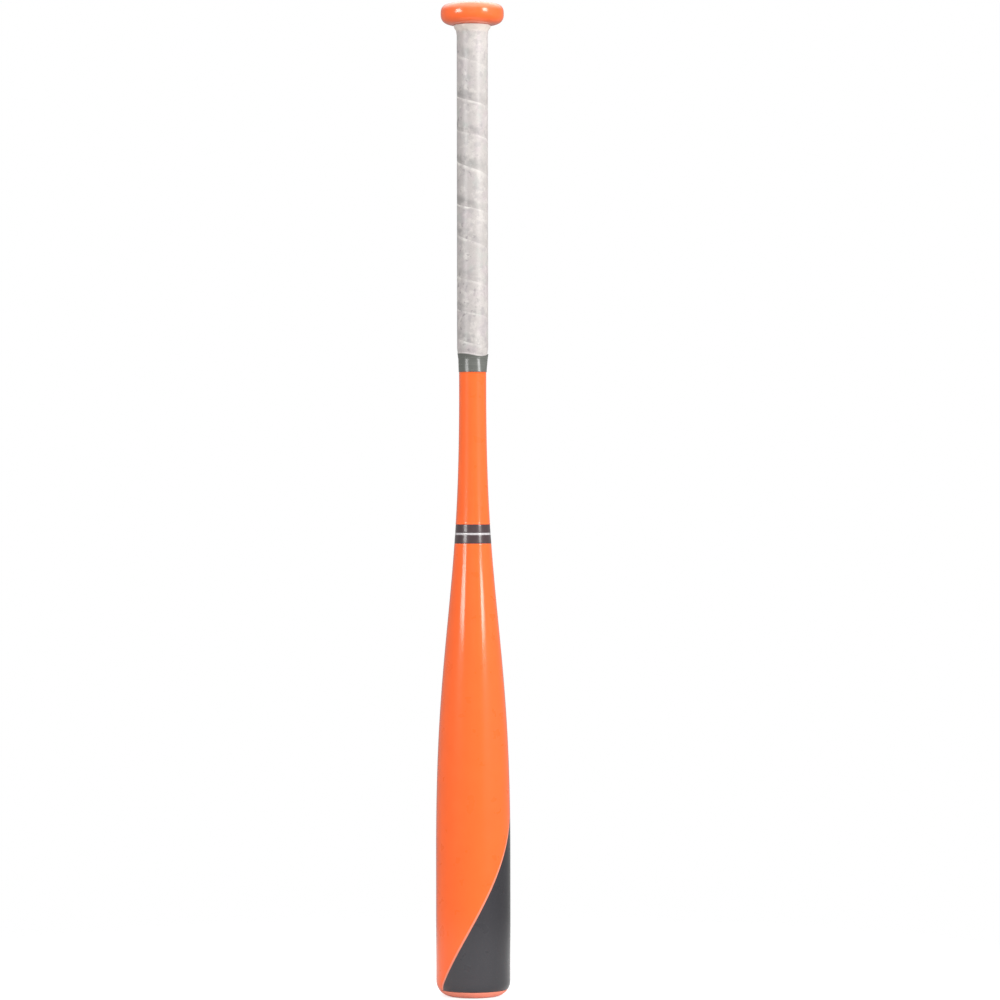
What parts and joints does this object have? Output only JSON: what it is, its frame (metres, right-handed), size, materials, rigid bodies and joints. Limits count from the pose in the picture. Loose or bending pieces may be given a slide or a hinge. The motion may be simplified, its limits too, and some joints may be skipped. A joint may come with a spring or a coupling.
{
  "type": "baseball bat",
  "caption": "Composite youth baseball bat with a flared knob, wound grip, elastomer joint collar, tapered hollow barrel and a snap-in end cap.",
  "frame": {"origin": "middle of the end cap's flat rim, on the bat's axis, where the bat stands", "axes": "+Z along the bat from the end cap to the knob; the part is round about Z, and -Y is the side that the picture shows"},
  "size_m": [0.0572, 0.0572, 0.762],
  "materials": {
    "orange_paint": "gloss orange paint under clear coat on composite, with a charcoal colour block on the barrel",
    "cap": "satin moulded orange urethane",
    "grip": "pale grey synthetic grip with a fine grain",
    "tape": "dark grey stretched vinyl tape",
    "elastomer": "charcoal elastomer, satin",
    "stripe": "white satin ring",
    "backing": "double-sided adhesive tape",
    "stopper": "black moulded rubber"
  },
  "bodies": {
    "root": {"knob": "orange_paint", "handle_tube": "orange_paint", "handle_end_plug": "stopper", "handle_stopper": "stopper", "grip_backing_tape": "backing", "grip_wrap": "grip", "grip_end_tape": "tape", "flex_collar": "elastomer", "collar_stripe": "stripe", "barrel_shell": "orange_paint", "end_cap": "cap"}
  },
  "joints": []
}
